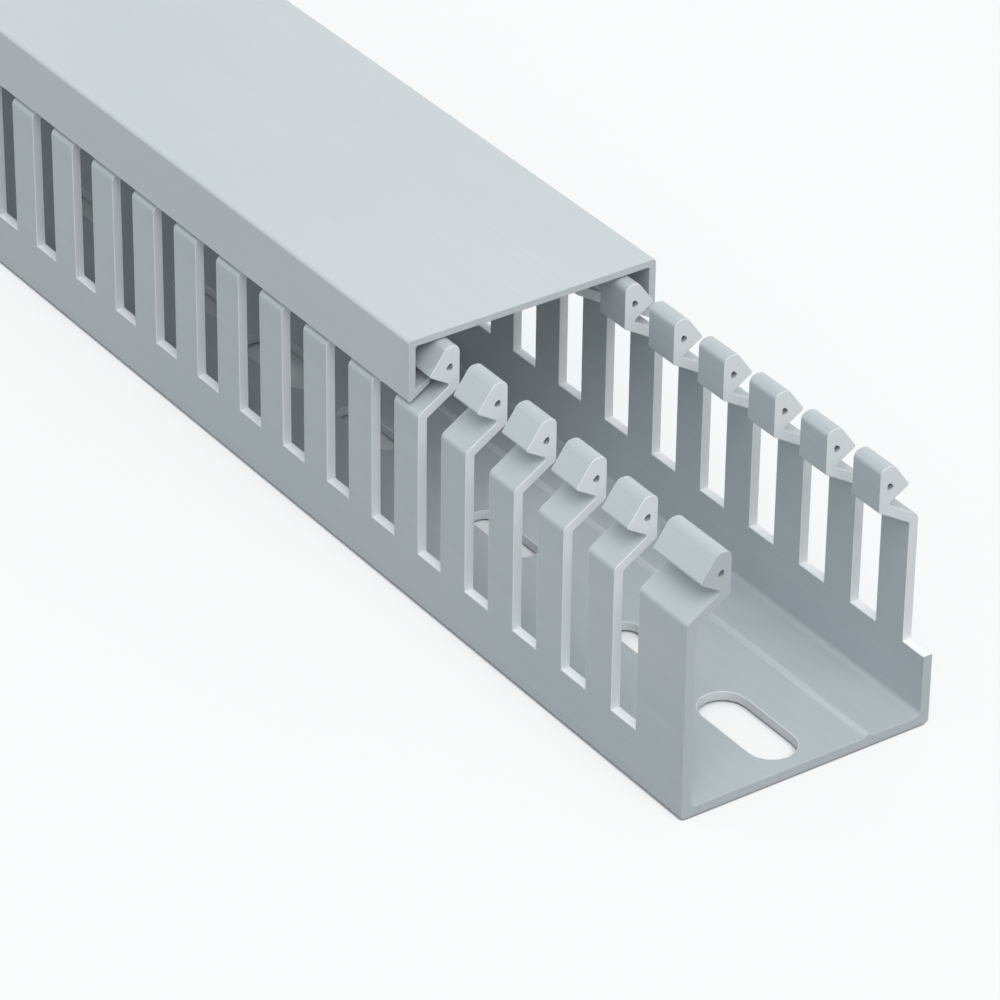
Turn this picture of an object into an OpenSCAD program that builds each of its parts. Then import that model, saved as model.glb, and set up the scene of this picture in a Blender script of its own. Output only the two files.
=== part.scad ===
// Slotted wire duct with its clip-fit cover, lying base down.
// X runs along the duct with the front end at +X, Z is up, and the origin is
// the centre of the underside of the duct's base. Left and right are as seen
// from the front end, looking into the duct: left is -Y and right is +Y.

/* [Duct] */
// Length of the duct and of its cover
duct_length = 1000; // [250:50:1500]
// Width over the outer faces of the side walls
duct_width = 45; // [38:1:80]
// Overall height with the cover on
duct_height = 45; // [36:1:80]
// Thickness of the base, the side walls, the shoulders and the necks
wall = 1.6; // [1.2:0.1:2]
// Rounding of the two long outer edges of the base
edge_round = 0.6; // [0.3:0.1:1]
// Fillet between the base and the side walls inside
inner_fillet = 1; // [0.4:0.1:2]

/* [Side slots] */
// Distance from one side slot to the next
slot_pitch = 12.5; // [11:0.5:16]
// Width of a side slot
slot_width = 6; // [4:0.5:7.5]
// Height of the lower ends of the left wall's slots
left_sill = 9.2; // [6:0.2:14]
// Height of the lower ends of the right wall's slots
right_sill = 12; // [6:0.2:14]
// Width of the last finger of the left wall at the front end
left_end_finger = 11.5; // [6:0.5:16]
// Distance from the front end to the first whole slot of the right wall
right_first_slot = 11.5; // [10:0.5:18]
// Width of the open slot that the front end cuts through in the right wall
right_end_notch = 5; // [1:0.5:5.5]
// Narrowest finger that may be left at the rear end
rear_finger_min = 5; // [3:0.5:10]

/* [Finger heads] */
// How far the shoulder takes a finger inwards
shoulder_in = 5.8; // [5.2:0.1:7]
// How far the shoulder rises over that distance
shoulder_rise = 3.6; // [2.8:0.1:4.4]
// Height of the catch between the shoulder and the tip of the barb
catch_height = 2.3; // [2:0.1:2.8]
// Height of the head above the tip of its barb
head_height = 4.2; // [3.9:0.1:5]
// Rounding of the top of the head
head_round = 1.2; // [0.6:0.1:1.4]
// Rounding of the tip of the barb
barb_round = 0.35; // [0.2:0.05:0.5]
// Width of the hollow in the head
hollow_width = 1.4; // [0.8:0.1:1.6]
// Height of the hollow in the head
hollow_height = 1.8; // [1.2:0.1:2.2]
// Wall between the hollow and the inner face of the head
hollow_wall = 1.3; // [0.9:0.1:1.5]

/* [Base] */
// Width of a wide fixing slot
fixing_width = 8; // [5:0.5:10]
// Length of a wide fixing slot over its round ends
fixing_length = 19.5; // [14:0.5:24]
// Distance from one wide fixing slot to the next
fixing_pitch = 125; // [115:2.5:150]
// Whole base between the front end and the first wide fixing slot
fixing_end = 2.5; // [1:0.25:15]
// Least whole base between the last fixing slot and the rear end
fixing_end_min = 5; // [2:0.5:20]
// Width of a narrow fixing slot
narrow_width = 4.5; // [3.5:0.5:6]
// Length of a narrow fixing slot over its round ends
narrow_length = 15; // [8:0.5:20]
// Distance between the three narrow slots that lie between two wide ones
narrow_pitch = 37.5; // [22:0.5:41]
// Offset of the row of fixing slots from the middle of the base
fixing_offset = -1.6; // [-3:0.2:3]
// Distance of the locating rib from the middle of the base
rib_offset = 11.3; // [8:0.1:14]
// Width of the locating rib at its foot
rib_width = 1.4; // [0.8:0.1:2]
// Width of the locating rib at its top
rib_top_width = 0.8; // [0.4:0.1:1]
// Height of the locating rib
rib_height = 0.4; // [0.3:0.1:1]

/* [Cover] */
// Thickness of the cover
cover_wall = 1.2; // [1:0.1:1.3]
// How far the cover's front end lies behind the duct's front end
cover_setback = 70; // [0:1:200]
// Rounding of the two long upper edges of the cover
cover_round = 0.6; // [0.3:0.1:1]
// Clearance between the cover and the finger heads
fit_gap = 0.3; // [0.2:0.05:0.4]
// Clearance between the cover's skirts and the tips of the barbs
barb_gap = 0.8; // [0.4:0.1:1.2]
// Clearance between the cover's lower edges and the shoulders
shoulder_gap = 0.8; // [0.3:0.1:1.2]
// How far the hook under the barbs reaches in from the cover's outer face
hook_in = 3.8; // [3.3:0.1:4.2]

/* [Hidden] */

$fn = 32;
cut = 0.5;                              // how far a cutter runs past a face
front = duct_length / 2;
side = duct_width / 2;

// Heights of the finger's profile, worked down from the top of the cover
head_top = duct_height - cover_wall - fit_gap;
barb_z = head_top - head_height;
catch_z = barb_z - catch_height;
crease_z = catch_z - shoulder_rise;

// Distances in from the outer face of the side wall
neck_in = shoulder_in + wall;
barb_in = cover_wall + barb_gap;
crown_in = neck_in - 2 * head_round;
hollow_in = neck_in - hollow_wall;

// A gap measured across a sloping face is this much times larger upright
shoulder_slope = shoulder_rise / shoulder_in;
shoulder_upright = norm([1, shoulder_slope]);
barb_slope = catch_height / (shoulder_in - barb_in);
barb_upright = norm([1, barb_slope]);

// Height of the shoulder's upper face, its lower face and the barb's underside
function shoulder_z(in) = crease_z + in * shoulder_slope;
function shoulder_under_z(in) = shoulder_z(in) - wall * shoulder_upright;
function barb_under_z(in) = catch_z + (shoulder_in - in) * barb_slope;

// Unit vector from p towards q
function unit(p, q) = (q - p) / norm(q - p);
// Distance from a corner to where its rounding starts, and the rounding's centre
function corner_trim(a, v, b, r) =
    r * norm(unit(v, a) + unit(v, b)) / norm(unit(v, a) - unit(v, b));
function corner_centre(a, v, b, r) =
    v + unit([0, 0], unit(v, a) + unit(v, b)) * 2 * r / norm(unit(v, a) - unit(v, b));

// A polygon given as [x, y, radius]: a corner with a radius has to stick out,
// and is rounded by a true circle
module rounded_polygon(corners) {
    n = len(corners);
    p = [for (c = corners) [c.x, c.y]];
    function before(i) = p[(i + n - 1) % n];
    function after(i) = p[(i + 1) % n];
    polygon([for (i = [0 : n - 1])
        let (trim = corners[i].z == 0 ? 0
            : corner_trim(before(i), p[i], after(i), corners[i].z))
        each trim == 0 ? [p[i]]
            : [p[i] + trim * unit(p[i], before(i)), p[i] + trim * unit(p[i], after(i))]]);
    for (i = [0 : n - 1])
        if (corners[i].z > 0)
            translate(corner_centre(before(i), p[i], after(i), corners[i].z))
                circle(r = corners[i].z);
}

// One side wall in [distance in from its outer face, height]: the upright leg,
// the bent shoulder, the neck and the barbed head with its hollow
module side_wall_section() {
    difference() {
        rounded_polygon([
            [0, 0, edge_round],
            [wall + inner_fillet, 0, 0],
            [wall + inner_fillet, wall, 0],
            [wall, wall, 0],
            [wall, shoulder_under_z(wall), 0],
            [neck_in, shoulder_under_z(neck_in), 0],
            [neck_in, head_top, head_round],
            [crown_in, head_top, head_round],
            [barb_in, barb_z, barb_round],
            [shoulder_in, catch_z, 0],
            [0, crease_z, head_round],
        ]);
        polygon([
            [hollow_in, barb_z],
            [hollow_in, barb_z + hollow_height],
            [hollow_in - hollow_width, barb_z + hollow_height / 2 - hollow_width / 4],
        ]);
    }
    difference() {
        translate([wall - cut, wall - cut]) square(inner_fillet + cut);
        translate([wall + inner_fillet, wall + inner_fillet]) circle(r = inner_fillet);
    }
}

// Both halves of a section that is alike left and right
module both_sides() {
    translate([-side, 0]) children();
    mirror([1, 0]) translate([-side, 0]) children();
}

// Carries a section of [Y, Z] along X from x0
module run(x0, length) {
    translate([x0, 0, 0]) rotate([90, 0, 90]) linear_extrude(length) children();
}

module duct_section() {
    both_sides() side_wall_section();
    translate([-side + wall, 0]) square([duct_width - 2 * wall, wall]);
    translate([rib_offset, wall]) polygon([
        [-rib_width / 2, -cut], [rib_width / 2, -cut], [rib_width / 2, 0],
        [rib_top_width / 2, rib_height], [-rib_top_width / 2, rib_height],
        [-rib_width / 2, 0],
    ]);
}

// Places of the slots of one wall, measured back from the front end
function slot_starts(first) =
    [for (x = [first : slot_pitch : duct_length - slot_width - rear_finger_min]) x];

// Cuts one wall away above the sill, from start to start + width behind the
// front end; hand is -1 for the left wall and 1 for the right
module side_slot(hand, start, width, sill) {
    depth = neck_in + 2 * cut;
    translate([front - start - width,
               hand < 0 ? -side - cut : side + cut - depth, sill])
        cube([width, depth, duct_height]);
}

// Middles of the fixing slots, measured back from the front end: three narrow
// slots lie evenly between each wide slot and the next
wide_slots = [for (x = [fixing_end + fixing_length / 2 : fixing_pitch
                        : duct_length - fixing_end_min - fixing_length / 2]) x];
narrow_slots = [for (x = wide_slots, step = [-1 : 1])
    let (middle = x + fixing_pitch / 2 + step * narrow_pitch)
    if (middle <= duct_length - fixing_end_min - narrow_length / 2) middle];

// An obround hole through the base with its middle at a distance behind the
// front end
module base_slot(middle, length, width) {
    reach = (length - width) / 2;
    translate([front - middle, fixing_offset, -cut]) {
        for (hand = [-1, 1])
            translate([hand * reach, 0, 0]) cylinder(d = width, h = wall + 2 * cut);
        translate([-reach, -width / 2, 0])
            cube([2 * reach, width, wall + 2 * cut]);
    }
}

module duct() {
    color([0.70, 0.73, 0.75])
    difference() {
        run(-front, duct_length) duct_section();
        for (start = slot_starts(left_end_finger))
            side_slot(-1, start, slot_width, left_sill);
        for (start = slot_starts(right_first_slot))
            side_slot(1, start, slot_width, right_sill);
        side_slot(1, -cut, right_end_notch + cut, right_sill);
        for (middle = wide_slots) base_slot(middle, fixing_length, fixing_width);
        for (middle = narrow_slots) base_slot(middle, narrow_length, narrow_width);
    }
}

// One edge of the cover: half the plate, the skirt, and the hook that lies
// along the shoulder and grips under the barb
module cover_edge_section() {
    foot = shoulder_gap * shoulder_upright;
    hook_top = barb_under_z(hook_in) - fit_gap * barb_upright;
    hook_thick = hook_top - shoulder_z(hook_in) - foot;
    rounded_polygon([
        [0, shoulder_z(0) + foot, 0],
        [hook_in, shoulder_z(hook_in) + foot, 0],
        [hook_in, hook_top, 0],
        [cover_wall, shoulder_z(cover_wall) + foot + hook_thick, 0],
        [cover_wall, duct_height - cover_wall, 0],
        [side, duct_height - cover_wall, 0],
        [side, duct_height, 0],
        [0, duct_height, cover_round],
    ]);
}

module cover() {
    color([0.80, 0.82, 0.82])
    run(-front - cover_setback, duct_length) both_sides() cover_edge_section();
}

duct();
cover();
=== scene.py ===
# %% [markdown]
# # A slotted wiring duct with its clip-fit cover
# The real object is two long pieces of light grey rigid PVC. Each is pushed hot through a
# steel die, so its section is the same all along, and the duct's walls and base are then
# punched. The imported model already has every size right, so this script gives the two
# pieces what a solid model leaves plain: the small roundings that a punch and a die leave,
# the whiter skin of cut plastic, and the satin of the extruded faces.
#
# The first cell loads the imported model. Its box is kept, because nothing that is made
# here may grow out of it.

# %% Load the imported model
import math

import bpy
import numpy as np
from mathutils import Matrix, Vector


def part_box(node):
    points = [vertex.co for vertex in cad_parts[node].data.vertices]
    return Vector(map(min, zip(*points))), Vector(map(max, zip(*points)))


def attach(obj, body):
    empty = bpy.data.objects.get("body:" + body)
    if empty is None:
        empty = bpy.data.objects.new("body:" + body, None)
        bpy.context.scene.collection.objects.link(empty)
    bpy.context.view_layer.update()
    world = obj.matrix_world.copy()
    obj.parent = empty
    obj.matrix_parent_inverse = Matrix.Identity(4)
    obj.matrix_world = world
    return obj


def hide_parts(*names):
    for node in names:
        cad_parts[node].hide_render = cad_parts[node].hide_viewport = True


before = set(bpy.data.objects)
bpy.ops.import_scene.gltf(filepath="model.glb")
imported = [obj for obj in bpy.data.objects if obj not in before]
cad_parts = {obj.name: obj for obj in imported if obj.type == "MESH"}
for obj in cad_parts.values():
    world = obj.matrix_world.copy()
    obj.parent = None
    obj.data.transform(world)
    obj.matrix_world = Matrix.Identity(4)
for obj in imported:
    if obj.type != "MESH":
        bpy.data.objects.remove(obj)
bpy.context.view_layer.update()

# %% [markdown]
# ## Camera
# A product like this is shown from above one end, so that the section, the row of fingers
# and the inside of the far wall all show. A long lens from a metre away keeps the lines
# nearly parallel. A camera can be aimed with a constraint or by angles. Here its three own
# axes are written down, because then its small roll is kept as well.

# %% Camera
LENS, SENSOR = 198.48, 36.0           # mm
NEAREST, FURTHEST = 0.05, 20.0        # what the camera draws, in metres from it
CAMERA_PLACE = (1.011598, -0.412259, 0.458067)
CAMERA_RIGHT = (0.567360, 0.823402, 0.010545)
CAMERA_UP = (-0.443588, 0.294813, 0.846354)
CAMERA_BACK = (0.693781, -0.484865, 0.532517)


def place_camera():
    """Camera whose own X, Y and Z axes are the right, up and back directions above."""
    data = bpy.data.cameras.new("camera")
    data.sensor_width, data.lens = SENSOR, LENS
    data.clip_start, data.clip_end = NEAREST, FURTHEST
    camera = bpy.data.objects.new("camera", data)
    bpy.context.scene.collection.objects.link(camera)
    turn = Matrix((CAMERA_RIGHT, CAMERA_UP, CAMERA_BACK)).transposed()
    camera.matrix_world = Matrix.Translation(CAMERA_PLACE) @ turn.to_4x4()
    bpy.context.scene.camera = camera
    return camera


camera = place_camera()
print("camera at", [round(c, 3) for c in camera.location], "lens", LENS)

# %% [markdown]
# ## Sizes
# All sizes are in millimetres, as on the maker's drawing, and are turned into metres only
# when a mesh is made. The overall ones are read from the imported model, and the rest are
# the model's own sizes once more. Added to them are the roundings of the punched and sawn
# edges, which are too small for a solid model of this length.

# %% Overall sizes
MM = 0.001


def box_in_mm(node):
    """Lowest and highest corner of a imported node, to a thousandth of a millimetre."""
    return [np.round(np.array(corner) / MM, 3).tolist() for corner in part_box(node)]


FRONT, SIDE, HEAD_TOP = box_in_mm("duct")[1]      # the duct runs from -FRONT to FRONT
COVER_REAR = box_in_mm("cover")[0][0]
COVER_FRONT, _, COVER_TOP = box_in_mm("cover")[1]
print("length:", 2 * FRONT, " width:", 2 * SIDE, " height:", COVER_TOP)

# %% [markdown]
# ## Sizes of the section and of the slots
# In a section, every place is given by how far it lies inwards from a wall's outer face,
# and by its height above the underside. So one set of numbers serves both walls.

# %% Smaller sizes
WALL = 1.6
EDGE_ROUND = 0.6                      # outer edges of the base
INNER_FILLET = 1.0                    # between base and walls

SLOT_PITCH, SLOT_WIDTH, SLOT_COUNT = 12.5, 6.0, 79
LEFT_SILL, RIGHT_SILL = 9.2, 12.0     # where the slots of each wall end
LEFT_FIRST, RIGHT_FIRST = 11.5, 11.5  # front end to the first whole slot
END_NOTCH = 5.0                       # open slot at the right wall's front end

SHOULDER_IN, SHOULDER_RISE, CATCH_HEIGHT, HEAD_HEIGHT = 5.8, 3.6, 2.3, 4.2
BARB_Z = HEAD_TOP - HEAD_HEIGHT       # tip of the barb
CATCH_Z = BARB_Z - CATCH_HEIGHT       # upper end of the shoulder
CREASE_Z = CATCH_Z - SHOULDER_RISE    # lower end of the shoulder
HEAD_ROUND, BARB_ROUND, BEND_ROUND = 1.2, 0.35, 0.4
NECK_IN = SHOULDER_IN + WALL
BARB_IN, CROWN_IN = 2.0, NECK_IN - 2 * HEAD_ROUND
HOLLOW_WIDTH, HOLLOW_HEIGHT, HOLLOW_WALL, HOLLOW_ROUND = 1.4, 1.8, 1.3, 0.34

WIDE_WIDTH, WIDE_LENGTH, WIDE_PITCH, WIDE_COUNT = 8.0, 19.5, 125.0, 8
WIDE_FIRST = 12.25                    # front end to the middle of the first wide slot
NARROW_WIDTH, NARROW_LENGTH, NARROW_PITCH = 4.5, 15.0, 37.5
FIX_OFFSET = -1.6                     # row of fixing slots from the middle of the base
RIB_AT, RIB_WIDTH, RIB_TOP, RIB_HEIGHT = 11.3, 1.4, 0.8, 0.4

COVER_WALL, COVER_ROUND, HOOK_IN = 1.2, 0.6, 3.8
FIT_GAP, SHOULDER_GAP = 0.3, 0.8      # cover to barbs, cover to shoulders
HOOK_ROUND, FOOT_ROUND = 0.25, 0.2    # hook's tip, and the skirt's lower edge
HOOK_FILLET, LID_FILLET = 0.3, 0.4    # inside the skirt, below and above

PUNCH_ROUND, SAW_ROUND = 0.12, 0.08   # what the punch and the saw leave at an edge
print("heights of crease, catch and barb:", CREASE_Z, CATCH_Z, BARB_Z)

# %% [markdown]
# ## Gathering one closed mesh
# A mesh is points and faces. The duct could be cut out of a block with booleans, but a
# boolean leaves ragged faces whose edges can't be rounded cleanly. So the skin is laid
# strip by strip, and neighbours share their points. The helper below keeps the points of
# all strips in one numbered list, and marks each face with how white its plastic is.

# %% Shell helper
# How white a face is, 0 on the extruded skin to 1 on the whitest cut; the rib's is painted
# highlight
SILL = 1.0        # the punch stops here and tears the plastic
PUNCHED = 0.8     # the other faces that the punch left
RIB_PAINTED_HIGHLIGHT = 0.25     # the rib: painted highlight, which also lightens its shaded side
SAWN = 0.12       # a fine saw leaves the ends nearly as dark as the skin


class Shell:
    """Points and faces of one closed skin, and the whiteness of each face. The sawn faces
    needn't be marked: they are found by their place, within SAW_ROUND of an end."""

    def __init__(self):
        self.points = []
        self.faces = []
        self.cut = []
        self.count = 0

    def add(self, x, y, z):
        """Numbers of new points, in an array shaped as x, y and z are together."""
        x, y, z = np.broadcast_arrays(x, y, z)
        self.points.append(np.stack([x, y, z], -1).reshape(-1, 3))
        numbers = self.count + np.arange(x.size).reshape(x.shape)
        self.count += x.size
        return numbers

    def strip(self, grid, flip, cut=0.0):
        """Quads between the neighbours of number grids shaped (..., rows, columns)."""
        quads = np.stack([grid[..., :-1, :-1], grid[..., 1:, :-1],
                          grid[..., 1:, 1:], grid[..., :-1, 1:]], -1).reshape(-1, 4)
        if flip:
            quads = quads[:, ::-1]
        self.faces.extend(quads.tolist())
        self.cut.extend([cut] * len(quads))

    def plates(self, rims, flip, cut=0.0):
        """Flat faces, one for each row of point numbers round its rim."""
        rims = [list(rim) for rim in rims]
        if flip:
            rims = [rim[::-1] for rim in rims]
        self.faces.extend(rims)
        self.cut.extend([cut] * len(rims))

    def to_object(self, name):
        """The shell as a Blender object at the origin, in metres."""
        mesh = bpy.data.meshes.new(name)
        points = np.concatenate(self.points) * MM
        mesh.from_pydata(points.tolist(), [], self.faces)
        mesh.update()
        middles = np.empty(3 * len(mesh.polygons))
        mesh.polygons.foreach_get("center", middles)
        x = middles[::3] / MM
        sawn = (x < x.min() + SAW_ROUND) | (x > x.max() - SAW_ROUND)
        mark = mesh.attributes.new("cut", "FLOAT", "FACE")
        mark.data.foreach_set("value", np.where(sawn, SAWN, self.cut).astype(np.float32))
        mesh.polygons.foreach_set("use_smooth", np.ones(len(mesh.polygons), bool))
        piece = bpy.data.objects.new(name, mesh)
        bpy.context.scene.collection.objects.link(piece)
        return piece


print("shell helper ready")

# %% [markdown]
# ## Rounded outlines
# A die is cut as an outline of straight lines with a small radius at each corner. The same
# is done here: corners are listed with their radii, and each corner becomes a short arc.
# The second helper moves an outline into the plastic, which is what a rounded edge needs:
# the skin sinks a little before the cut face is reached.

# %% Outline helpers
def rounded_outline(corners, steps=4):
    """Points of an outline whose corners [u, z, r] are turned into arcs.

    Formula: with a and b the unit directions from the corner to its neighbours and h half
    the angle between them, the arc's centre lies on a + b at r / sin(h), and the arc runs
    between the points r / tan(h) away on both sides, in equal steps of its angle."""
    corners = np.array(corners, float)
    before, after = np.roll(corners, 1, 0), np.roll(corners, -1, 0)
    runs = []
    for last, here, ahead in zip(before, corners, after):
        if here[2] == 0:
            runs.append(here[None, :2])
            continue
        a = (last - here)[:2] / np.linalg.norm((last - here)[:2])
        b = (ahead - here)[:2] / np.linalg.norm((ahead - here)[:2])
        h = 0.5 * np.arccos(np.clip(a @ b, -1, 1))
        centre = here[:2] + (a + b) / np.linalg.norm(a + b) * here[2] / np.sin(h)
        start = here[:2] + a * here[2] / np.tan(h) - centre
        end = here[:2] + b * here[2] / np.tan(h) - centre
        sweep = np.pi - 2 * h
        t = np.linspace(0, 1, steps + 1)[:, None]
        arc = (np.sin((1 - t) * sweep) * start + np.sin(t * sweep) * end) / np.sin(sweep)
        runs.append(centre + arc)
    return np.concatenate(runs)


def inward_mitres(outline, closed=False):
    """For each point of an outline that keeps the plastic on its right, the step that
    moves both of its sides in by 1 mm.

    Formula: with m and n the inward unit normals of the two sides, (m + n) / (1 + m.n)."""
    step = np.diff(outline, axis=0, append=outline[:1])
    normal = np.stack([step[:, 1], -step[:, 0]], 1)
    normal /= np.linalg.norm(normal, axis=1, keepdims=True)
    ahead, behind = normal.copy(), np.roll(normal, 1, 0)
    if not closed:
        ahead[-1], behind[0] = behind[-1], ahead[0]
    return (ahead + behind) / (1 + np.sum(ahead * behind, 1, keepdims=True))


# A rounded edge in three rows: angle 0 lies on the skin, 90 degrees on the cut face.
# SINK is how far each row sinks into the plastic, BACK how far it lies from the cut.
EDGE_ANGLE = np.radians([0.0, 45.0, 90.0])
quarter = 1 - np.stack([np.cos(EDGE_ANGLE), np.sin(EDGE_ANGLE)])
PUNCH_SINK, PUNCH_BACK = PUNCH_ROUND * quarter
SAW_SINK, SAW_BACK = SAW_ROUND * quarter
print("punched edge sinks", PUNCH_SINK.round(3), "mm and lies back", PUNCH_BACK.round(3), "mm")

# %% [markdown]
# ## The finger's outline
# A finger goes straight up, bends inwards at its shoulder, turns up again as a neck and
# ends in a barbed head. Wires are pushed in between two heads and can't spring out, and
# the cover's hooks catch under the barbs. The outline runs from the sill outside, over the
# head, and back down to the sill inside. The head is hollow, which keeps it springy.

# %% Finger outline
SHOULDER_SLOPE = SHOULDER_RISE / SHOULDER_IN
SHOULDER_DROP = WALL * math.hypot(1, SHOULDER_SLOPE)
UNDER_WALL = CREASE_Z + WALL * SHOULDER_SLOPE - SHOULDER_DROP
UNDER_NECK = CREASE_Z + NECK_IN * SHOULDER_SLOPE - SHOULDER_DROP
NECK_MARK = BARB_Z + HOLLOW_HEIGHT / 2  # a point on the neck level with the hollow

finger_outline = np.concatenate([
    rounded_outline([
        [0, LEFT_SILL, 0],
        [0, CREASE_Z, HEAD_ROUND],
        [SHOULDER_IN, CATCH_Z, BEND_ROUND],
        [BARB_IN, BARB_Z, BARB_ROUND],
        [CROWN_IN, HEAD_TOP, HEAD_ROUND],
        [NECK_IN, HEAD_TOP, HEAD_ROUND],
        [NECK_IN, NECK_MARK, 0],
    ]),
    rounded_outline([
        [NECK_IN, NECK_MARK, 0],
        [NECK_IN, UNDER_NECK, BEND_ROUND],
        [WALL, UNDER_WALL, BEND_ROUND],
        [WALL, LEFT_SILL, 0],
    ], steps=3)[1:],
])
barb_point = int(np.argmin(np.hypot(*(finger_outline - [BARB_IN, BARB_Z]).T)))
neck_point = int(np.argmin(np.hypot(*(finger_outline - [NECK_IN, NECK_MARK]).T)))

hollow_in = NECK_IN - HOLLOW_WALL
hollow_outline = rounded_outline([
    [hollow_in, BARB_Z, HOLLOW_ROUND],
    [hollow_in, BARB_Z + HOLLOW_HEIGHT, HOLLOW_ROUND],
    [hollow_in - HOLLOW_WIDTH, BARB_Z + HOLLOW_HEIGHT / 2 - HOLLOW_WIDTH / 4, HOLLOW_ROUND],
], steps=2)
# The hollow's points above and below the line from the neck to the barb
to_neck = np.hypot(*(hollow_outline - [hollow_in, NECK_MARK]).T)
around = np.roll(np.arange(len(hollow_outline)), -int(np.argmin(to_neck)))
split = int(np.argmin(hollow_outline[around, 0]))
hollow_over = around[:split + 1]
hollow_under = np.append(around[split:], around[0])
print(len(finger_outline), "points round a finger,", len(hollow_outline), "round its hollow")

# %% [markdown]
# ## Where the fingers start and end
# The punch leaves a slot every 12.5 mm, and the slots of the two walls stand side by side.
# At the front end the left wall ends in a broad finger, and the right wall in a slot that
# the saw cut open. Between two slots stands one finger.

# %% Finger ends
slot_index = np.arange(SLOT_COUNT)[::-1]


def finger_ends(first_slot, front_end):
    """Rear and front end of every finger of a wall, from the rear end to the front.

    Formula: slot k spans from first_slot + k pitches behind the front end to one slot
    width more, and a finger fills what lies between two slots."""
    slot_front = FRONT - first_slot - SLOT_PITCH * slot_index
    slot_rear = slot_front - SLOT_WIDTH
    rears = np.concatenate([[-FRONT], slot_front])
    fronts = np.concatenate([slot_rear, [front_end]])
    return np.stack([rears, fronts], 1)


left_fingers = finger_ends(LEFT_FIRST, FRONT)
right_fingers = finger_ends(RIGHT_FIRST, FRONT - END_NOTCH)
print("left wall:", len(left_fingers), "fingers, the last one",
      round(float(np.ptp(left_fingers[-1])), 2), "mm wide")

# %% [markdown]
# ## Six rows across a finger
# All fingers of a wall have the same outline, so they are worked out together: one array
# has an axis for the finger, one for the six rows across it and one for the outline. The
# outer rows are sunk in, which rounds the finger's long edges.

# %% Rows across a finger
def wall_y(hand, inwards):
    """Place across the duct of points that lie inwards of a wall's outer face. hand is -1
    for the left wall and 1 for the right."""
    return hand * (SIDE - inwards)


def finger_rows(ends, sill):
    """Places along the duct of six rows across each finger, and their outlines.

    Formula: row k of an end lies back[k] from it, and each outline point there is moved
    inwards by its mitre times sink[k]. The punch rounds the ends at slots, the saw the
    ends of the duct."""
    back = np.tile(np.concatenate([PUNCH_BACK[::-1], PUNCH_BACK]), (len(ends), 1))
    sink = np.tile(np.concatenate([PUNCH_SINK[::-1], PUNCH_SINK]), (len(ends), 1))
    foot = sill - back                  # the outline's ends follow the rounded sill
    skin = sill - PUNCH_ROUND
    back[0, :3], sink[0, :3], foot[0, :3] = SAW_BACK[::-1], SAW_SINK[::-1], skin
    if ends[-1, 1] == FRONT:
        back[-1, 3:], sink[-1, 3:], foot[-1, 3:] = SAW_BACK, SAW_SINK, skin
    rows_x = np.repeat(ends, 3, 1) + back * [1, 1, 1, -1, -1, -1]
    rows = finger_outline + sink[:, :, None, None] * inward_mitres(finger_outline)
    rows[:, :, 0, 1] = rows[:, :, -1, 1] = foot
    return rows_x, rows


print("rows of the left wall:", finger_rows(left_fingers, LEFT_SILL)[1].shape)

# %% [markdown]
# ## A wall of fingers
# The rows become skin: a rounding, the finger's broad face all round, and a rounding
# again. The hollow runs through the head, the two cut faces close the finger, and the
# sills join the fingers at the bottom of each slot.

# %% Wall of fingers
def add_fingers(shell, hand, ends, sill):
    """Fingers of one wall, above its sill, as closed skins that share the sills' points."""
    flip = hand > 0
    rows_x, rows = finger_rows(ends, sill)
    ids = shell.add(rows_x[:, :, None], wall_y(hand, rows[..., 0]), rows[..., 1])
    shell.strip(ids[:, :3], flip, cut=PUNCHED)
    shell.strip(ids[:, 2:4], flip)
    shell.strip(ids[:, 3:], flip, cut=PUNCHED)

    # The hollow is a tunnel from one cut face to the other
    bore = shell.add(ends[:, :, None], wall_y(hand, hollow_outline[:, 0]),
                     hollow_outline[:, 1])
    shell.strip(np.concatenate([bore, bore[..., :1]], 2), flip)

    # Each cut face, at row 0 and at row 5, is two flat plates, which meet on a line from
    # the barb through the hollow to the neck
    for row, end, turn in ((0, 0, flip), (5, 1, not flip)):
        face, hole = ids[:, row], bore[:, end]
        shell.plates(np.concatenate([face[:, barb_point:neck_point + 1],
                                     hole[:, hollow_over]], 1), turn, cut=PUNCHED)
        shell.plates(np.concatenate([face[:, :barb_point + 1], hole[:, hollow_under],
                                     face[:, neck_point:]], 1), turn, cut=PUNCHED)

    # The sill joins the front rows of a finger to the rear rows of the next one
    behind = np.concatenate([ids[:-1, 3:, 0], ids[:-1, :2:-1, -1]], 1)
    ahead = np.concatenate([ids[1:, 2::-1, 0], ids[1:, :3, -1]], 1)
    shell.strip(np.stack([behind, ahead], 1), flip, cut=SILL)
    return ids, rows_x


duct_shell = Shell()
left_ids, left_x = add_fingers(duct_shell, -1, left_fingers, LEFT_SILL)
right_ids, right_x = add_fingers(duct_shell, 1, right_fingers, RIGHT_SILL)
print("points so far:", duct_shell.count, " faces:", len(duct_shell.faces))

# %% [markdown]
# ## The right wall's open slot
# At the front end the saw went through a slot of the right wall, so its sill runs out to
# the end. Six lines carry it there: the two rounded edges and the flat between them.

# %% Open slot
front_rows = FRONT - SAW_BACK
rear_rows = -FRONT + SAW_BACK[::-1]


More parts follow.
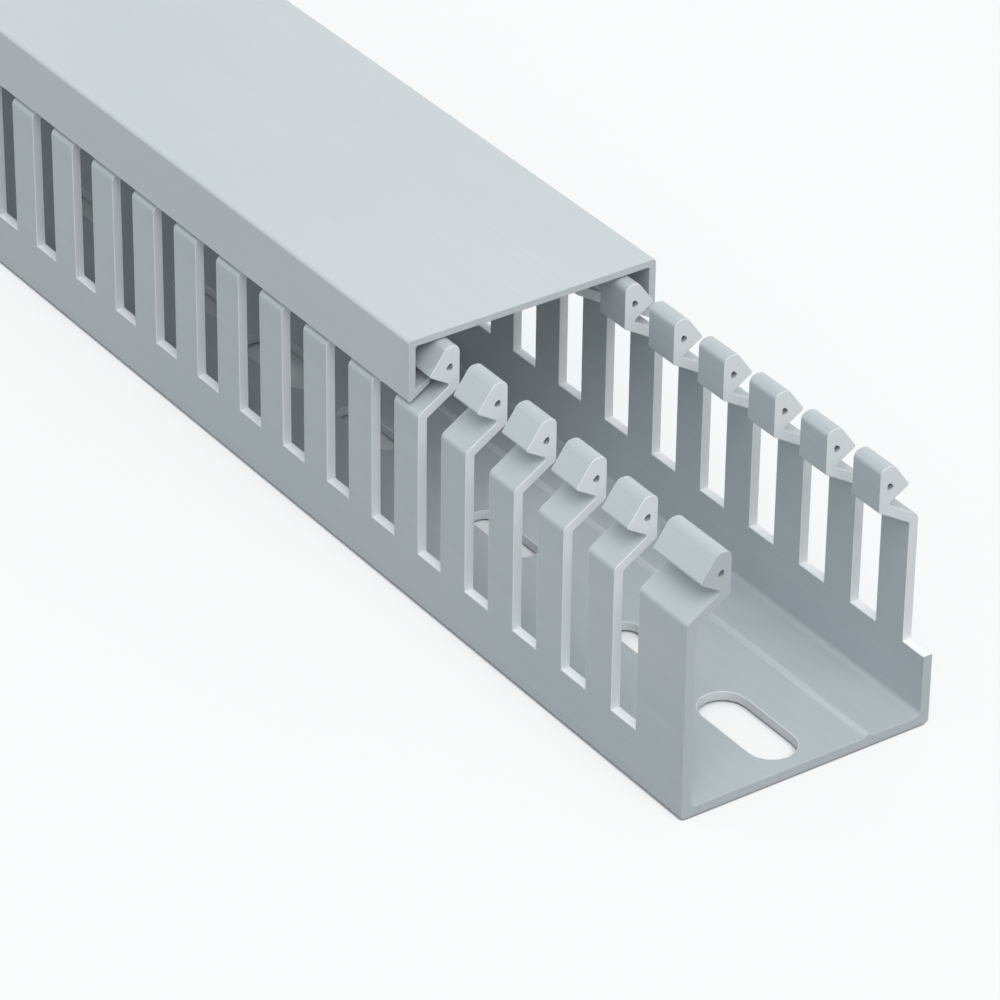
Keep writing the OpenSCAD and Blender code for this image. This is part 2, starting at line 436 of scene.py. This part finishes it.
def add_open_sill(shell, ids):
    """The sill from the last finger to the sawn end. It returns the numbers of its six
    points in each of the three rows of the sawn edge.

    Formula: the sill's section is the punched rounding and its mirror image, and each row
    is that section, moved inwards by its mitres times SAW_SINK."""
    edge = np.stack([PUNCH_SINK, RIGHT_SILL - PUNCH_BACK], 1)
    section = np.concatenate([edge, edge[::-1] * [-1, 1] + [WALL, 0]])
    rows = section + SAW_SINK[:, None, None] * inward_mitres(section)
    rows[:, [0, -1], 1] = RIGHT_SILL - PUNCH_ROUND
    out = shell.add(front_rows[:, None], wall_y(1, rows[..., 0]), rows[..., 1])
    start = np.concatenate([ids[-1, 3:, 0], ids[-1, :2:-1, -1]])
    shell.strip(np.concatenate([start[None], out]), True, cut=SILL)
    return out


open_sill = add_open_sill(duct_shell, right_ids)
print("open sill rows:", open_sill.shape)

# %% [markdown]
# ## Edges along the base
# Outside, the base turns up into the walls over a small rounding, and inside over a
# fillet. Both are quarter circles carried along the whole length. They are divided where
# the fingers above and the fixing slots beside them need a point, so that all strips meet
# point to point.

# %% Base edges
wide_centres = FRONT - WIDE_FIRST - WIDE_PITCH * np.arange(WIDE_COUNT)
narrow_centres = (wide_centres[:, None] - WIDE_PITCH / 2
                  + NARROW_PITCH * np.array([-1, 0, 1])).ravel()
fix_centres = np.concatenate([wide_centres, narrow_centres])
order = np.argsort(fix_centres)
kinds = [len(wide_centres), len(narrow_centres)]
fix_centres = fix_centres[order]
fix_lengths = np.repeat([WIDE_LENGTH, NARROW_LENGTH], kinds)[order]
fix_widths = np.repeat([WIDE_WIDTH, NARROW_WIDTH], kinds)[order]
base_breaks = (fix_centres[:-1] + fix_lengths[:-1] / 2
               + fix_centres[1:] - fix_lengths[1:] / 2) / 2


def sawn_sink(stations):
    """How far the skin is sunk at each station: only in the three rows at either end."""
    sink = np.zeros(len(stations))
    sink[:3], sink[-3:] = SAW_SINK[::-1], SAW_SINK
    return sink


def add_base_edge(shell, hand, finger_x):
    """The outer rounding and the inner fillet of one wall, with their stations.

    Formula: the outer point at angle t is its centre minus (radius - sink) times
    (cos t, sin t), and the inner one its centre minus (radius + sink) times the same."""
    stations = np.concatenate([rear_rows, np.sort(np.append(finger_x[1:, 2], base_breaks)),
                               front_rows])
    sink = sawn_sink(stations)[:, None, None]
    t = np.radians(np.linspace(0, 90, 4))
    ray = np.stack([np.cos(t), np.sin(t)], 1)
    outer = EDGE_ROUND - (EDGE_ROUND - sink) * ray[::-1]
    inner = WALL + INNER_FILLET - (INNER_FILLET + sink) * ray
    grids = []
    for section in (outer, inner):
        ids = shell.add(stations[:, None], wall_y(hand, section[..., 0]), section[..., 1])
        shell.strip(ids, hand > 0)
        grids.append(ids)
    return stations, grids[0], grids[1]


left_stations, left_outer, left_inner = add_base_edge(duct_shell, -1, left_x)
right_stations, right_outer, right_inner = add_base_edge(duct_shell, 1, right_x)
print("stations: left", len(left_stations), "right", len(right_stations))

# %% [markdown]
# ## The whole band below the slots
# Between the base and the sills each wall is a flat band. Its upper rim has the points of
# the fingers and its lower rim those of the base. Flat faces with many corners join them,
# one for each slot, which keeps the band perfectly flat.

# %% Bands below the slots
SAME_PLACE = 1e-6                 # mm, by which two equal stations may differ


def between(stations, ids, start, end):
    """The point numbers of a rim from one station to another."""
    inside = (stations > start - SAME_PLACE) & (stations < end + SAME_PLACE)
    return ids[inside].tolist()


def add_bands(shell, hand, finger_x, finger_ids, stations, outer, inner, tail):
    """Flat bands of one wall, outside and inside. tail holds, for the outer and the inner
    rim, the points of the three sawn rows at the front end."""
    starts = finger_x[:, 2]
    stops = np.append(starts[1:], front_rows[0])
    for rim, end, low in ((0, 0, outer[:, -1]), (1, -1, inner[:, 0])):
        plates = []
        for f, (start, stop) in enumerate(zip(starts, stops)):
            high = [finger_ids[f, 2, end], finger_ids[f, 3, end]]
            high += [finger_ids[f + 1, 2, end]] if f + 1 < len(starts) else []
            if f + 1 == len(starts) and tail[rim][0] != high[-1]:
                high.append(tail[rim][0])
            bottom = between(stations, low, start, stop)
            plates.append(bottom + high[::-1] if rim == 0 else high + bottom[::-1])
        shell.plates(plates, hand > 0)
        for high, base in ((finger_ids[0, :3, end], low[:3]), (tail[rim], low[-3:])):
            pair = [base, high] if rim == 0 else [high, base]
            shell.strip(np.stack(pair, 1), hand > 0)


add_bands(duct_shell, -1, left_x, left_ids, left_stations, left_outer, left_inner,
          (left_ids[-1, 3:, 0], left_ids[-1, 3:, -1]))
add_bands(duct_shell, 1, right_x, right_ids, right_stations, right_outer, right_inner,
          (open_sill[:, 0], open_sill[:, -1]))
print("faces with the bands:", len(duct_shell.faces))

# %% [markdown]
# ## Fixing slots
# The base is screwed down through a row of slots with round ends: a wide one every
# 125 mm, and three narrow ones between. Every slot gets six rings: three for its rounded
# upper edge and three for its lower one.

# %% Fixing slots
HALF_RING = 9                     # points in each round end of a slot


def add_fixing_slots(shell):
    """Rings of all fixing slots.

    Formula: a ring is two half circles around centres half the straight length apart,
    with the slot's radius plus the ring's distance back from the cut."""
    half = np.radians(np.linspace(-90, 90, HALF_RING))
    turn = np.concatenate([half, half + np.pi])
    centres, lengths, widths = (column[:, None, None]
                                for column in (fix_centres, fix_lengths, fix_widths))
    reach = np.repeat([1.0, -1.0], HALF_RING) * (lengths - widths) / 2
    radius = widths / 2 + np.concatenate([PUNCH_BACK, PUNCH_BACK[::-1]])[:, None]
    z = np.concatenate([WALL - PUNCH_SINK, PUNCH_SINK[::-1]])[:, None]
    rings = shell.add(centres + reach + radius * np.cos(turn),
                      FIX_OFFSET + radius * np.sin(turn), z)
    shell.strip(np.concatenate([rings, rings[..., :1]], 2), True, cut=PUNCHED)
    return rings


rings = add_fixing_slots(duct_shell)
upper, lower = rings[:, 0], rings[:, -1]      # the rims in the floor and in the underside
foremost = HALF_RING // 2                     # the point of a ring that lies furthest ahead
rearmost = foremost + HALF_RING
rear_to_front_left = np.arange(rearmost, foremost + 2 * HALF_RING + 1) % (2 * HALF_RING)
rear_to_front_right = np.arange(rearmost, foremost - 1, -1)
print("fixing slots:", len(rings), "with", rings.shape[1], "rings each")

# %% [markdown]
# ## Floor rib and middle lines
# A low rib guides the first wires along the base. It is laid together with the base's
# middle line, where the plates of both sides meet between the fixing slots.

# %% Rib and middle lines
rows = np.concatenate([rear_rows, base_breaks, front_rows])
row_sink = sawn_sink(rows)
floor_section = np.array([
    [FIX_OFFSET, WALL],
    [RIB_AT - RIB_WIDTH / 2, WALL],
    [RIB_AT - RIB_TOP / 2, WALL + RIB_HEIGHT],
    [RIB_AT + RIB_TOP / 2, WALL + RIB_HEIGHT],
    [RIB_AT + RIB_WIDTH / 2, WALL],
    [SIDE - WALL - INNER_FILLET, WALL]])
floor_rows = floor_section + row_sink[:, None, None] * inward_mitres(floor_section)
floor_rows = floor_rows[:, :-1]   # the last point only gave the direction of the last side
floor = duct_shell.add(rows[:, None], floor_rows[..., 0], floor_rows[..., 1])
under = duct_shell.add(rows, FIX_OFFSET, row_sink)
rib = floor[:, 1:]
# The rib's faces are whitened as a painted highlight for the light line along its top, and
# this also lightens its shaded side.
duct_shell.strip(rib[2:-2], False, cut=RIB_PAINTED_HIGHLIGHT)
print("rows along the base:", len(rows))

# %% [markdown]
# ## Floor and underside
# The flat floor and the flat underside are plates that each run round half a slot, from
# one middle line to the wall's edge. Beside the rib the floor has a plate of its own.

# %% Floor and underside
cells = np.concatenate([rear_rows[2:], base_breaks, front_rows[:1]])
floor_plates, under_plates = [], []
for c, (start, stop) in enumerate(zip(cells[:-1], cells[1:])):
    here, there = c + 2, c + 3
    left_rim = between(left_stations, left_inner[:, -1], start, stop)
    right_rim = between(right_stations, right_inner[:, -1], start, stop)
    floor_plates += [
        left_rim + [floor[there, 0]] + upper[c, rear_to_front_left[::-1]].tolist()
        + [floor[here, 0]],
        [floor[here, 0]] + upper[c, rear_to_front_right].tolist()
        + [floor[there, 0], rib[there, 0], rib[here, 0]],
        [rib[here, -1], rib[there, -1]] + right_rim[::-1]]
    left_rim = between(left_stations, left_outer[:, 0], start, stop)
    right_rim = between(right_stations, right_outer[:, 0], start, stop)
    under_plates += [
        left_rim + [under[there]] + lower[c, rear_to_front_left[::-1]].tolist()
        + [under[here]],
        [under[here]] + lower[c, rear_to_front_right].tolist() + [under[there]]
        + right_rim[::-1]]
duct_shell.plates(floor_plates, False)
duct_shell.plates(under_plates, True)
print("base plates:", len(floor_plates) + len(under_plates))

# %% [markdown]
# ## The sawn ends
# Both ends were cut with a saw. The cut face takes in the base and the foot of each wall,
# and the end fingers already have their own cut faces above it. Three rows of points round
# its edge.

# %% Sawn ends
for span in (slice(0, 3), slice(-3, None)):
    across = np.column_stack([left_inner[span, -1], floor[span], right_inner[span, -1]])
    duct_shell.strip(across, False)
    below = np.column_stack([right_outer[span, 0], under[span], left_outer[span, 0]])
    duct_shell.strip(below, False)

for end, left_foot, right_foot, turn in (
        (0, left_ids[0, 0, [0, -1]], right_ids[0, 0, [0, -1]], False),
        (-1, left_ids[-1, -1, [0, -1]], open_sill[-1], True)):
    rim = np.concatenate([left_outer[end], left_foot, left_inner[end], floor[end],
                          right_inner[end, ::-1], right_foot[::-1], right_outer[end, ::-1],
                          [under[end]]])
    duct_shell.plates([rim], turn)

duct_piece = duct_shell.to_object("duct_profile")
print("duct:", len(duct_piece.data.vertices), "points,",
      len(duct_piece.data.polygons), "faces")

# %% [markdown]
# ## The cover
# The cover is a flat lid with two skirts. Each skirt ends in a foot that lies along the
# fingers' shoulders and hooks under their barbs. One closed outline is carried along the
# whole length, and three rows of points round the sawn edge at each end.

# %% Cover
def cover_outline():
    """The cover's closed section, clockwise, seen from its rear end: from the left foot
    up, across the top, down on the right, and back along the inside.

    Formula: the foot's underside is the shoulder's line raised by its gap, and the hook's
    tip is the barb's underside lowered by its gap. A gap across a slope is measured
    upright as gap times hypot(1, slope)."""
    foot = SHOULDER_GAP * math.hypot(1, SHOULDER_SLOPE)
    barb_slope = (BARB_Z - CATCH_Z) / (SHOULDER_IN - BARB_IN)
    hook_top = (CATCH_Z + (SHOULDER_IN - HOOK_IN) * barb_slope
                - FIT_GAP * math.hypot(1, barb_slope))
    foot_z = CREASE_Z + foot
    thick = hook_top - foot_z - HOOK_IN * SHOULDER_SLOPE
    left = np.array([
        [HOOK_IN, hook_top, HOOK_ROUND],
        [HOOK_IN, foot_z + HOOK_IN * SHOULDER_SLOPE, HOOK_ROUND],
        [0, foot_z, FOOT_ROUND],
        [0, COVER_TOP, COVER_ROUND]])
    inside = np.array([
        [COVER_WALL, COVER_TOP - COVER_WALL, LID_FILLET],
        [COVER_WALL, foot_z + COVER_WALL * SHOULDER_SLOPE + thick, HOOK_FILLET]])
    mirror = [-1, 1, 1]
    corners = np.concatenate([left, left[::-1] * mirror + [2 * SIDE, 0, 0],
                              inside[::-1] * mirror + [2 * SIDE, 0, 0], inside])
    return rounded_outline(corners, steps=4)


cover_shell = Shell()
outline = cover_outline()
cover_x = np.concatenate([COVER_REAR + SAW_BACK[::-1], COVER_FRONT - SAW_BACK])
cover_sink = sawn_sink(cover_x)[:, None, None]
section = outline + cover_sink * inward_mitres(outline, closed=True)
cover_ids = cover_shell.add(cover_x[:, None], section[..., 0] - SIDE, section[..., 1])
cover_shell.strip(np.concatenate([cover_ids, cover_ids[:, :1]], 1), False)
cover_shell.plates([cover_ids[0]], False)
cover_shell.plates([cover_ids[-1]], True)
cover_piece = cover_shell.to_object("cover_profile")
print("cover:", len(outline), "points round,", len(cover_piece.data.polygons), "faces")

# %% [markdown]
# ## Smooth roundings beside flat faces
# Smooth shading blends the faces round a point, and beside a large flat face that would
# leave a grey smear. Real edges of more than 50 degrees are marked sharp first. The
# weighted normal modifier then lets the larger face win, so flats stay flat and only the
# narrow roundings turn.

# %% Shading
def shade_flat_and_round(piece, angle=50.0):
    """Sharp edges above the angle, and normals weighted by the size of the faces. At a
    weight of 100, the most there is, the largest face alone decides."""
    piece.data.set_sharp_from_angle(angle=math.radians(angle))
    weigh = piece.modifiers.new("flat faces stay flat", "WEIGHTED_NORMAL")
    weigh.mode = "FACE_AREA"
    weigh.weight = 100
    weigh.keep_sharp = True


for piece in (duct_piece, cover_piece):
    shade_flat_and_round(piece)
    print(piece.name, "shaded")

# %% [markdown]
# ## Helpers for nodes
# A material is a graph of nodes, and a few small links come up in all of them: a value
# moved from one range to another, and a choice between two shaders. They are written once
# here. The third helper tells which rays look at the background. Only those may see it
# white, because a white that lit the part would wash out its soft shadows.

# %% Node helpers
def fit(tree, value, low, high, to_low, to_high):
    """Value moved from the range low..high to the range to_low..to_high."""
    node = tree.nodes.new("ShaderNodeMapRange")
    for key, number in (("From Min", low), ("From Max", high),
                        ("To Min", to_low), ("To Max", to_high)):
        node.inputs[key].default_value = number
    tree.links.new(value, node.inputs["Value"])
    return node.outputs["Result"]


def choice(tree, factor, first, second):
    """The first shader where factor is 0 and the second where it is 1."""
    mix = tree.nodes.new("ShaderNodeMixShader")
    for socket, link in zip(mix.inputs, (factor, first, second)):
        tree.links.new(link, socket)
    return mix.outputs["Shader"]


def background_rays(tree):
    """1 for the rays that show the background, which are the camera's and those that
    gloss or glass sends on to it, and 0 for the light that falls on the part."""
    path = tree.nodes.new("ShaderNodeLightPath")
    shows = path.outputs["Is Camera Ray"]
    for kind in ("Is Glossy Ray", "Is Transmission Ray"):
        either = tree.nodes.new("ShaderNodeMath")
        either.operation = "MAXIMUM"
        tree.links.new(shows, either.inputs[0])
        tree.links.new(path.outputs[kind], either.inputs[1])
        shows = either.outputs["Value"]
    return shows


print("node helpers ready")

# %% [markdown]
# ## Patterns and relief
# A pattern could be painted on a flat sheet and wrapped round each piece, but then it has
# a seam and one fixed sharpness. Noise on Object coordinates has neither, and is the same
# size on both pieces. Stretched far along X it becomes the fine lines that a die draws. A
# bump follows a pattern without moving the mesh, which is enough for relief of a few
# hundredths of a millimetre.

# %% Pattern helpers
RELIEF = 0.00002                  # metres from the lowest to the highest point


def noise(tree, scale, detail, stretch=(1, 1, 1)):
    """Noise with scale cells to the metre, drawn out where stretch is below 1."""
    place = tree.nodes.new("ShaderNodeTexCoord")
    mapping = tree.nodes.new("ShaderNodeMapping")
    mapping.inputs["Scale"].default_value = stretch
    texture = tree.nodes.new("ShaderNodeTexNoise")
    texture.inputs["Scale"].default_value = scale
    texture.inputs["Detail"].default_value = detail
    tree.links.new(place.outputs["Object"], mapping.inputs["Vector"])
    tree.links.new(mapping.outputs["Vector"], texture.inputs["Vector"])
    return texture.outputs["Fac"]


def blend(tree, factor, low, high):
    """Colour or link low, turning into high as factor goes from 0 to 1. A Mix node has
    sockets for every kind of value: its colours are inputs 6 and 7 and output 2."""
    mix = tree.nodes.new("ShaderNodeMix")
    mix.data_type = "RGBA"
    tree.links.new(factor, mix.inputs["Factor"])
    for socket, value in ((mix.inputs[6], low), (mix.inputs[7], high)):
        if isinstance(value, bpy.types.NodeSocket):
            tree.links.new(value, socket)
        else:
            socket.default_value = (*value, 1)
    return mix.outputs[2]


def relief(tree, height, strength):
    """Bump node that follows height."""
    bump = tree.nodes.new("ShaderNodeBump")
    bump.inputs["Strength"].default_value = strength
    bump.inputs["Distance"].default_value = RELIEF
    tree.links.new(height, bump.inputs["Height"])
    return bump


print("pattern helpers ready, relief", RELIEF / MM, "mm")

# %% [markdown]
# ## Rigid PVC
# Extruded PVC has a satin skin. Its colour is even, with faint clouds from the mixing of
# the powder, and the die draws very fine lines along it. Where the punch went through, the
# plastic is torn a little, so it is duller and whiter. One material per piece does all of
# it, and the mark on each face chooses between skin and torn plastic. On the rib the mark
# is a painted highlight. Both pieces are the same PVC, but the duct's tones are painted
# darker and bluer than the cover's, as painted shade on its walls.

# %% PVC material
TORN_AND_HIGHLIGHT = (0.95, 0.96, 0.965)        # colour of torn plastic, and of the rib's painted highlight
SATIN, CLOUD_DULL, TORN_DULL = 0.42, 0.04, 0.18   # roughness, and what is added to it
PVC_IOR = 1.5
CLOUDS = (40, 3, (0.5, 1, 1))             # 25 mm across, and twice as long
DIE_LINES = (1000, 2, (0.0025, 1, 1))     # 1 mm apart, and 400 times as long
GRAIN = (2600, 2)                         # 0.4 mm
LINE_TINT, LINE_BUMP, GRAIN_BUMP = 0.05, 0.35, 0.3
MIDDLE, MOST = (0.35, 0.65), (0.3, 0.7)   # spans in which a noise's values lie


def pvc(name, skin, cloud):
    """Satin PVC, with skin and cloud as the two tones of its skin.

    Formula: the colour goes from skin to cloud with the clouds, then up to LINE_TINT of
    the way to TORN_AND_HIGHLIGHT with the die lines, and then the face's mark of the way to TORN_AND_HIGHLIGHT. The
    roughness is SATIN, plus or minus CLOUD_DULL with the clouds, plus TORN_DULL times the
    mark."""
    material = bpy.data.materials.new(name)
    material.use_nodes = True
    tree = material.node_tree
    shader = tree.nodes["Principled BSDF"]
    shader.inputs["IOR"].default_value = PVC_IOR
    clouds, lines, grain = (noise(tree, *kind) for kind in (CLOUDS, DIE_LINES, GRAIN))
    # The face's mark: torn or sawn plastic, and on the rib a painted highlight.
    face = tree.nodes.new("ShaderNodeAttribute")
    face.attribute_name = "cut"
    mark = face.outputs["Fac"]

    tone = blend(tree, fit(tree, clouds, *MIDDLE, 0, 1), skin, cloud)
    lined = blend(tree, fit(tree, lines, *MOST, 0, LINE_TINT), tone, TORN_AND_HIGHLIGHT)
    tree.links.new(blend(tree, mark, lined, TORN_AND_HIGHLIGHT), shader.inputs["Base Color"])

    dull = tree.nodes.new("ShaderNodeMath")
    dull.operation = "MULTIPLY_ADD"
    tree.links.new(mark, dull.inputs[0])
    dull.inputs[1].default_value = TORN_DULL
    tree.links.new(fit(tree, clouds, *MOST, SATIN - CLOUD_DULL, SATIN + CLOUD_DULL),
                   dull.inputs[2])
    tree.links.new(dull.outputs["Value"], shader.inputs["Roughness"])

    drawn, pitted = relief(tree, lines, LINE_BUMP), relief(tree, grain, GRAIN_BUMP)
    tree.links.new(drawn.outputs["Normal"], pitted.inputs["Normal"])
    tree.links.new(pitted.outputs["Normal"], shader.inputs["Normal"])
    return material


# Both pieces are the same PVC. The duct's two tones are painted darker and bluer than the
# cover's, as painted shade for its walls; the cover's are the plastic's own colour.
painted_shade_duct_pvc = pvc("duct_pvc_satin", (0.50, 0.54, 0.565), (0.53, 0.565, 0.585))
cover_pvc = pvc("cover_pvc_satin", (0.57, 0.60, 0.61), (0.60, 0.625, 0.635))
print("materials:", painted_shade_duct_pvc.name, cover_pvc.name)

# %% [markdown]
# ## Each piece on its body
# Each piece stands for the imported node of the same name, and moves with its body. So the
# cover slides along the duct, and the duct stays.

# %% Pieces on their bodies
for piece, material, node in ((duct_piece, painted_shade_duct_pvc, "duct"),
                              (cover_piece, cover_pvc, "cover")):
    piece.data.materials.append(material)
    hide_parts(node)
    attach(piece, node)
    print(piece.name, "wears", material.name)

# %% [markdown]
# ## Floor
# A plain pale sheet lies under the duct. A sheet that is lit as the part is would come out
# grey, so it also glows white by itself where the background is looked at. The glow fades
# where the duct shuts out the open sky, so the floor stays dim in the covered fixing slots
# and keeps the part's soft shadow. To the light that bounces it is a darker sheet, because
# a white one would light the walls from below.

# %% Floor
FLOOR_HALF, FLOOR_DROP = 4.0, 0.0003      # metres: half its side, and below the duct
PAPER, BOUNCE = 0.9, 0.32                 # how pale it is to the eye and to the light
GLOW = 0.72                               # share of the glow under an open sky
SKY_REACH, SHUT, OPEN = 0.06, 0.4, 0.5    # metres, and the open shares of no and full glow


def diffuse(tree, grey):
    """Output of a plain matt shader."""
    shader = tree.nodes.new("ShaderNodeBsdfDiffuse")
    shader.inputs["Color"].default_value = (grey, grey, grey, 1)
    return shader.outputs["BSDF"]


def white_sheet():
    """Square floor, matt to the light, and partly glowing where the background shows.

    Formula: the glow's share is 0 where less than SHUT of the sky within SKY_REACH is
    open, and GLOW where more than OPEN of it is."""
    mesh = bpy.data.meshes.new("floor")
    corners = FLOOR_HALF * np.array([[-1, -1], [1, -1], [1, 1], [-1, 1]])
    mesh.from_pydata(np.column_stack([corners, np.full(4, -FLOOR_DROP)]).tolist(), [],
                     [[0, 1, 2, 3]])
    sheet = bpy.data.objects.new("floor", mesh)
    bpy.context.scene.collection.objects.link(sheet)
    material = bpy.data.materials.new("white_sheet")
    material.use_nodes = True
    tree = material.node_tree
    tree.nodes.remove(tree.nodes["Principled BSDF"])
    glow = tree.nodes.new("ShaderNodeEmission").outputs["Emission"]
    sky = tree.nodes.new("ShaderNodeAmbientOcclusion")
    sky.inputs["Distance"].default_value = SKY_REACH
    share = fit(tree, sky.outputs["AO"], SHUT, OPEN, 0, GLOW)
    seen = choice(tree, share, diffuse(tree, PAPER), glow)
    surface = choice(tree, background_rays(tree), diffuse(tree, BOUNCE), seen)
    tree.links.new(surface, tree.nodes["Material Output"].inputs["Surface"])
    mesh.materials.append(material)
    return sheet


white_sheet()
print("floor laid,", 2 * FLOOR_HALF, "m wide")

# %% [markdown]
# ## Lamps
# Plain soft studio light. One large soft lamp stands high in front of the front end, and
# two weak ones fill in from the left and the right. Top faces come out lightest, and the
# walls a step darker, so that each bend of the section reads. A lamp's own -Z axis is the
# way it shines.

# %% Lamps
def soft_lamp(name, place, aim, size, power, colour):
    """Square lamp at place that shines at aim. Its side is in metres, its power in watts."""
    data = bpy.data.lights.new(name, "AREA")
    data.size, data.energy, data.color = size, power, colour
    lamp = bpy.data.objects.new(name, data)
    bpy.context.scene.collection.objects.link(lamp)
    turn = (Vector(place) - Vector(aim)).to_track_quat("Z", "Y")
    lamp.matrix_world = Matrix.Translation(place) @ turn.to_matrix().to_4x4()
    return lamp


lamps = [
    soft_lamp("key", (1.53, -0.35, 1.8), (0.35, 0, 0), 1.6, 26.5, (1.0, 0.985, 0.965)),
    soft_lamp("left_fill", (-0.5, -0.9, 0.6), (0.3, 0, 0), 0.7, 2.9, (0.95, 1.0, 1.0)),
    soft_lamp("right_fill", (-0.3, 1.2, 0.8), (0.2, 0, 0), 1.0, 3.5, (1.0, 0.985, 0.985)),
]
print("lamps:", [lamp.name for lamp in lamps])

# %% [markdown]
# ## Sky
# An even and slightly cool sky lights what the lamps don't reach. Where it is looked at, it
# is plain white.

# %% Sky
SKY_COLOUR, SKY_STRENGTH = (0.825, 0.935, 0.995), 0.53


def studio_sky():
    """World that lights with the sky's colour and shows white as the background."""
    world = bpy.data.worlds.new("studio")
    world.use_nodes = True
    tree = world.node_tree
    sky = tree.nodes["Background"]
    sky.inputs["Color"].default_value = (*SKY_COLOUR, 1)
    sky.inputs["Strength"].default_value = SKY_STRENGTH
    white = tree.nodes.new("ShaderNodeBackground")
    white.inputs["Color"].default_value = (1, 1, 1, 1)
    surface = choice(tree, background_rays(tree), sky.outputs["Background"],
                     white.outputs["Background"])
    tree.links.new(surface, tree.nodes["World Output"].inputs["Surface"])
    return world


bpy.context.scene.world = studio_sky()
bpy.context.scene.view_settings.view_transform = "Standard"
print("world:", bpy.context.scene.world.name)
